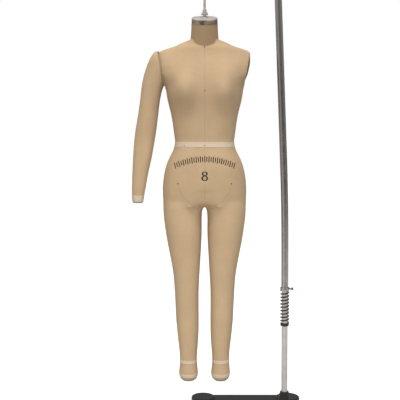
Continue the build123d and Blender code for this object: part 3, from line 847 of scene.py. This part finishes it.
def moulded(name, colour, roughness):
    """Moulded plastic or rubber with a fine spark grain."""
    material = new_material(name, {"Roughness": roughness})
    grain = cloud(material, 420, 3)
    dust = cloud(material, 20, 5)
    feed(material, "Base Color", shades(material, dust, [(0.35, colour), (0.75, tinted(colour, 1.8))]))
    feed(material, "Normal", bump(material, grain, 0.3, 0.15))
    return material


def inked(name):
    """Printed mark that has sunk into the weave."""
    material = new_material(name, {"Roughness": 0.8})
    patchy = cloud(material, 500, 3)
    feed(material, "Base Color", shades(material, patchy, [
        (0.35, (0.012, 0.008, 0.006)),
        (0.75, (0.04, 0.026, 0.016)),
    ]))
    feed(material, "Normal", bump(material, threads(material, "Z", 0.9), 0.3, 0.2))
    return material


LINEN_COLOUR = (0.50, 0.355, 0.214)
linen = woven("linen", LINEN_COLOUR, 0.9)
linen_seam = woven("linen_seam", tinted(LINEN_COLOUR, 0.86), 0.7)
# The neck's linen is painted darker than the rest: painted shade for a neck that leans forward and turns
# down, away from the light above.
linen_neck_painted_shade = woven("linen_neck_painted_shade", (0.385, 0.265, 0.155), 0.9)
tape = woven("tape", (0.59, 0.485, 0.36), 1.1, 0.06, 0.15)
cap_chrome = tarnished_cap("cap_chrome")
# The right armhole plate's dark brown is painted shade: it stands in for the plate's linen facing lying in
# shadow.
armhole_plate_painted_shade = enamelled("armhole_plate_painted_shade", (0.12, 0.08, 0.045), 200, 0.55)
pole_chrome = plated("pole_chrome", (0.62, 0.59, 0.57), 0.16, 0.15)
lower_chrome = plated("lower_chrome", (0.66, 0.63, 0.62), 0.3, 0.12, 0.4)
black_steel = enamelled("black_steel", (0.02, 0.019, 0.018), 300, 0.35)
base_black = enamelled("base_black", (0.018, 0.0165, 0.015), 220, 0.5)
zinc = zinc_plated("zinc")
birch = wooden("birch")
shell_fibre = fibre("shell_fibre")
black_plastic = moulded("black_plastic", (0.03, 0.03, 0.03), 0.5)
wheel_rubber = moulded("wheel_rubber", (0.035, 0.034, 0.033), 0.7)
mark_ink = inked("mark_ink")
pin_bronze = plated("pin_bronze", (0.22, 0.14, 0.08), 0.4, 0.3)

SLOT_MATERIALS = {
    "linen": linen,
    "tape": tape,
    "shell": shell_fibre,
    "board": birch,
    "cap_chrome": cap_chrome,
    "pole_chrome": pole_chrome,
    "black_steel": black_steel,
    "base_black": base_black,
    "zinc": zinc,
    "black_plastic": black_plastic,
    "wheel": wheel_rubber,
}
OWN_MATERIALS = {
    "lower_tube": lower_chrome,
    "form_studs": pin_bronze,
    "armhole_plate_right": armhole_plate_painted_shade,
}


def dress(thing, material):
    thing.data.materials.clear()
    thing.data.materials.append(material)


def dress_cad_nodes():
    """Gives every carried-over part the material of its slot."""
    for part in frame["record"]["subparts"]:
        name = part["node"]
        thing = frame["nodes"][name]
        dress(thing, OWN_MATERIALS.get(name, SLOT_MATERIALS[part["material_slot"]]))


# ---- putting the pieces on their bodies ----
def with_shoulder(thing):
    """Bakes the piece's placement into its mesh."""
    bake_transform(thing)


def finish_piece(thing, material):
    dress(thing, material)


def build_body():
    """The skin cut at the waist, and above it in two halves, left and right."""
    body = body_skin()
    waist = at(0, 0, WAIST)
    hips = cut_copy(body, "linen_hips", (waist, -Z_AXIS))
    finish_piece(hips, linen)
    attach(hips, "form")
    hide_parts("hip_cover", "leg_cover_left", "leg_cover_right")
    for side, name in ((-1, "left"), (1, "right")):
        chest = cut_copy(body, f"linen_chest_{name}", (waist, Z_AXIS), (FORM, side * X_AXIS))
        finish_piece(chest, linen)
        with_shoulder(chest)
        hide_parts(f"shoulder_cover_{name}", "torso_cover")
    tree = mesh_tree(body)
    bpy.data.objects.remove(body)
    return tree


def build_seams(tree):
    form_strips = [
        ribbon(centre_line(tree, 708, 1384, True), FLAT_SEAM),
        ribbon(centre_line(tree, 716, 1404, False), SEAM),
    ]
    for side in (-1, 1):
        form_strips.append(ribbon(brief_line(tree, side), SEAM))
        form_strips.append(ribbon(leg_seam(tree, side, True), SEAM))
        form_strips.append(ribbon(leg_seam(tree, side, False), SEAM))
        form_strips.append(ribbon(side_seam(tree, side, CROTCH + 60, WAIST - 10), SEAM))
    seams = joined("seams_form", form_strips)
    finish_piece(seams, linen_seam)
    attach(seams, "form")
    for side, name in ((-1, "left"), (1, "right")):
        strips = [
            ribbon(shoulder_line(tree, side), SEAM),
            ribbon(back_shaping_line(tree, side), SEAM),
            ribbon(side_seam(tree, side, WAIST + 10, 1228), SEAM),
        ]
        if side < 0:
            strips.append(ribbon(armhole_rim(tree, side, -5), ROLL, True))
        seams = joined(f"seams_chest_{name}", strips)
        finish_piece(seams, linen_seam)
        with_shoulder(seams)


def build_tapes(tree):
    rings = tape_rings(tree, body_axis, WAIST - 10, WAIST + 10, WAIST_TAPE_POINTS)
    waist = new_object("tape_waist", *rings)
    finish_piece(waist, tape)
    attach(waist, "form")
    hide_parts("waist_tape")
    for side, name in ((-1, "left"), (1, "right")):
        for label, low, high, girth in (("ankle", 74, 87, 0.24), ("hem", 16, 30, 0.22)):
            centre_at = partial(leg_centre, side)
            rings = tape_rings(tree, centre_at, low, high, LIMB_TAPE_POINTS, LEG_TAPE_REACH)
            band = new_object(f"tape_{label}_{name}", *rings)
            finish_piece(band, tape)
            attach(band, "form")
            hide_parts("leg_tapes")


def build_marks(tree):
    marks = joined("printed_marks", tick_arc(tree) + size_numeral(tree))
    dress(marks, mark_ink)
    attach(marks, "form")


def build_neck(tree):
    neck = neck_skin()
    finish_piece(neck, linen_neck_painted_shade)
    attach(neck, "form")
    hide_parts("neck_cover")
    welt = joined("seam_neck", [ribbon(neck_foot(mesh_tree(neck), tree), WELT, True)])
    finish_piece(welt, linen_seam)
    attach(welt, "form")


def build_arm():
    arm = arm_skin()
    tree = mesh_tree(arm)
    finish_piece(arm, linen)
    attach(arm, "arm")
    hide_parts("arm_body")
    strips = [ribbon(arm_seam(tree), SEAM), ribbon(armhole_rim(tree, -1, 9), ROLL, True)]
    seams = joined("seams_arm", strips)
    finish_piece(seams, linen_seam)
    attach(seams, "arm")
    wrist = new_object("tape_wrist", *tape_rings(tree, arm_centre, 749, 776, LIMB_TAPE_POINTS))
    finish_piece(wrist, tape)
    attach(wrist, "arm")
    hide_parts("wrist_tape")


def build_spring(node_name, material, stouter):
    """A coil copied from its CAD node, made stouter and kept within the node's own heights."""
    low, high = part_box(node_name)
    coil = node_copy(node_name, f"coil_{node_name}")
    grow(coil, stouter)
    for vertex in coil.data.vertices:
        vertex.co.z = min(max(vertex.co.z, low.z), high.z)
    finish_piece(coil, material)
    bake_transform(coil)
    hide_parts(node_name)


def build_springs():
    for side, name in ((-1, "left"), (1, "right")):
        build_spring(f"shoulder_spring_{name}", zinc, 0.0)
    build_spring("mast_spring", black_steel, 0.8)


# ---- floor, light and camera ----
def build_floor():
    """A plain pale floor that throws no light back, which would fill in the shades under the bust and arm."""
    half = 30.0         # metres
    corners = [(-half, -half, 0), (half, -half, 0), (half, half, 0), (-half, half, 0)]
    floor = new_object("floor", corners, [(0, 1, 2, 3)], smooth=False)
    material = new_material("floor", {
        "Base Color": (0.9, 0.9, 0.9, 1),
        "Roughness": 0.9,
        "Emission Color": (1, 1, 1, 1),
        "Emission Strength": 0.45,
    })
    dress(floor, material)
    floor.visible_diffuse = False
    floor.visible_glossy = False


def ramp_over(tree, source, stops):
    """A grey ramp over a value that runs from -1 to 1."""
    scaled = tree.nodes.new("ShaderNodeMapRange")
    scaled.inputs["From Min"].default_value = -1
    tree.links.new(source, scaled.inputs["Value"])
    ramp = tree.nodes.new("ShaderNodeValToRGB")
    while len(ramp.color_ramp.elements) < len(stops):
        ramp.color_ramp.elements.new(0.5)
    for element, (share, value) in zip(ramp.color_ramp.elements, stops):
        element.position = share
        element.color = (value, value, value, 1)
    tree.links.new(scaled.outputs[0], ramp.inputs[0])
    return ramp.outputs[0]


def background(tree, colour):
    made = tree.nodes.new("ShaderNodeBackground")
    if isinstance(colour, bpy.types.NodeSocket):
        tree.links.new(colour, made.inputs["Color"])
    else:
        made.inputs["Color"].default_value = colour
    return made.outputs[0]


def chosen(tree, switch, first, second):
    """The second shader where the switch is 1, else the first."""
    made = tree.nodes.new("ShaderNodeMixShader")
    tree.links.new(switch, made.inputs[0])
    tree.links.new(first, made.inputs[1])
    tree.links.new(second, made.inputs[2])
    return made.outputs[0]


def build_world():
    """White behind the object, a soft light that is brighter above, and a dark studio for the metal."""
    world = bpy.data.worlds.new("room")
    world.use_nodes = True
    tree = world.node_tree
    tree.nodes.clear()
    place = tree.nodes.new("ShaderNodeTexCoord")
    parts = tree.nodes.new("ShaderNodeSeparateXYZ")
    tree.links.new(place.outputs["Generated"], parts.inputs[0])
    soft = ramp_over(tree, parts.outputs["Z"], [
        (0.0, 0.31), (0.4, 0.45), (0.5, 0.43), (0.75, 0.58), (1.0, 1.05),
    ])
    walls = ramp_over(tree, parts.outputs["X"], [
        (0.0, 0.30), (0.2, 0.32), (0.35, 0.12), (0.5, 0.085), (0.7, 0.08), (1.0, 0.20),
    ])
    above_and_below = ramp_over(tree, parts.outputs["Z"], [
        (0.0, 0.45), (0.43, 0.45), (0.46, 0.0), (0.53, 0.0), (0.6, 0.1), (0.9, 0.4),
    ])
    rays = tree.nodes.new("ShaderNodeLightPath")
    studio = tree.nodes.new("ShaderNodeAddShader")
    tree.links.new(background(tree, walls), studio.inputs[0])
    tree.links.new(background(tree, above_and_below), studio.inputs[1])
    lit = chosen(tree, rays.outputs["Is Glossy Ray"], background(tree, soft), studio.outputs[0])
    seen = chosen(tree, rays.outputs["Is Camera Ray"], lit, background(tree, (1, 1, 1, 1)))
    out = tree.nodes.new("ShaderNodeOutputWorld")
    tree.links.new(seen, out.inputs["Surface"])
    bpy.context.scene.world = world


def aimed(place, target):
    return (Vector(target) - Vector(place)).to_track_quat("-Z", "Y").to_euler()


def area_light(name, place, target, size, power, spread=180):
    lamp = bpy.data.lights.new(name, "AREA")
    lamp.shape = "DISK"
    lamp.size = size
    lamp.energy = power
    lamp.spread = radians(spread)
    made = bpy.data.objects.new(name, lamp)
    made.location = place
    made.rotation_euler = aimed(place, target)
    made.visible_glossy = False
    bpy.context.scene.collection.objects.link(made)


def build_lights():
    area_light("overhead", (FORM.x - 0.1, -1.0, 3.6), at(0, 0, 1250), 0.8, 35)
    area_light("low_fill", (FORM.x, -2.6, 0.9), at(0, 0, 250), 1.2, 7, 70)


def build_camera():
    lens = bpy.data.cameras.new("camera")
    lens.lens = 66.5
    lens.shift_y = -0.06
    lens.sensor_width = 36.0
    camera = bpy.data.objects.new("camera", lens)
    camera.location = (FORM.x - 0.019, -3.068, 1.199)
    camera.rotation_euler = (radians(87.97), 0, 0)
    bpy.context.scene.collection.objects.link(camera)
    bpy.context.scene.camera = camera


build_camera()
body_tree = build_body()
build_seams(body_tree)
build_tapes(body_tree)
build_marks(body_tree)
build_neck(body_tree)
build_arm()
build_springs()
dress_cad_nodes()
build_floor()
build_world()
build_lights()
bpy.context.scene.view_settings.view_transform = "Standard"
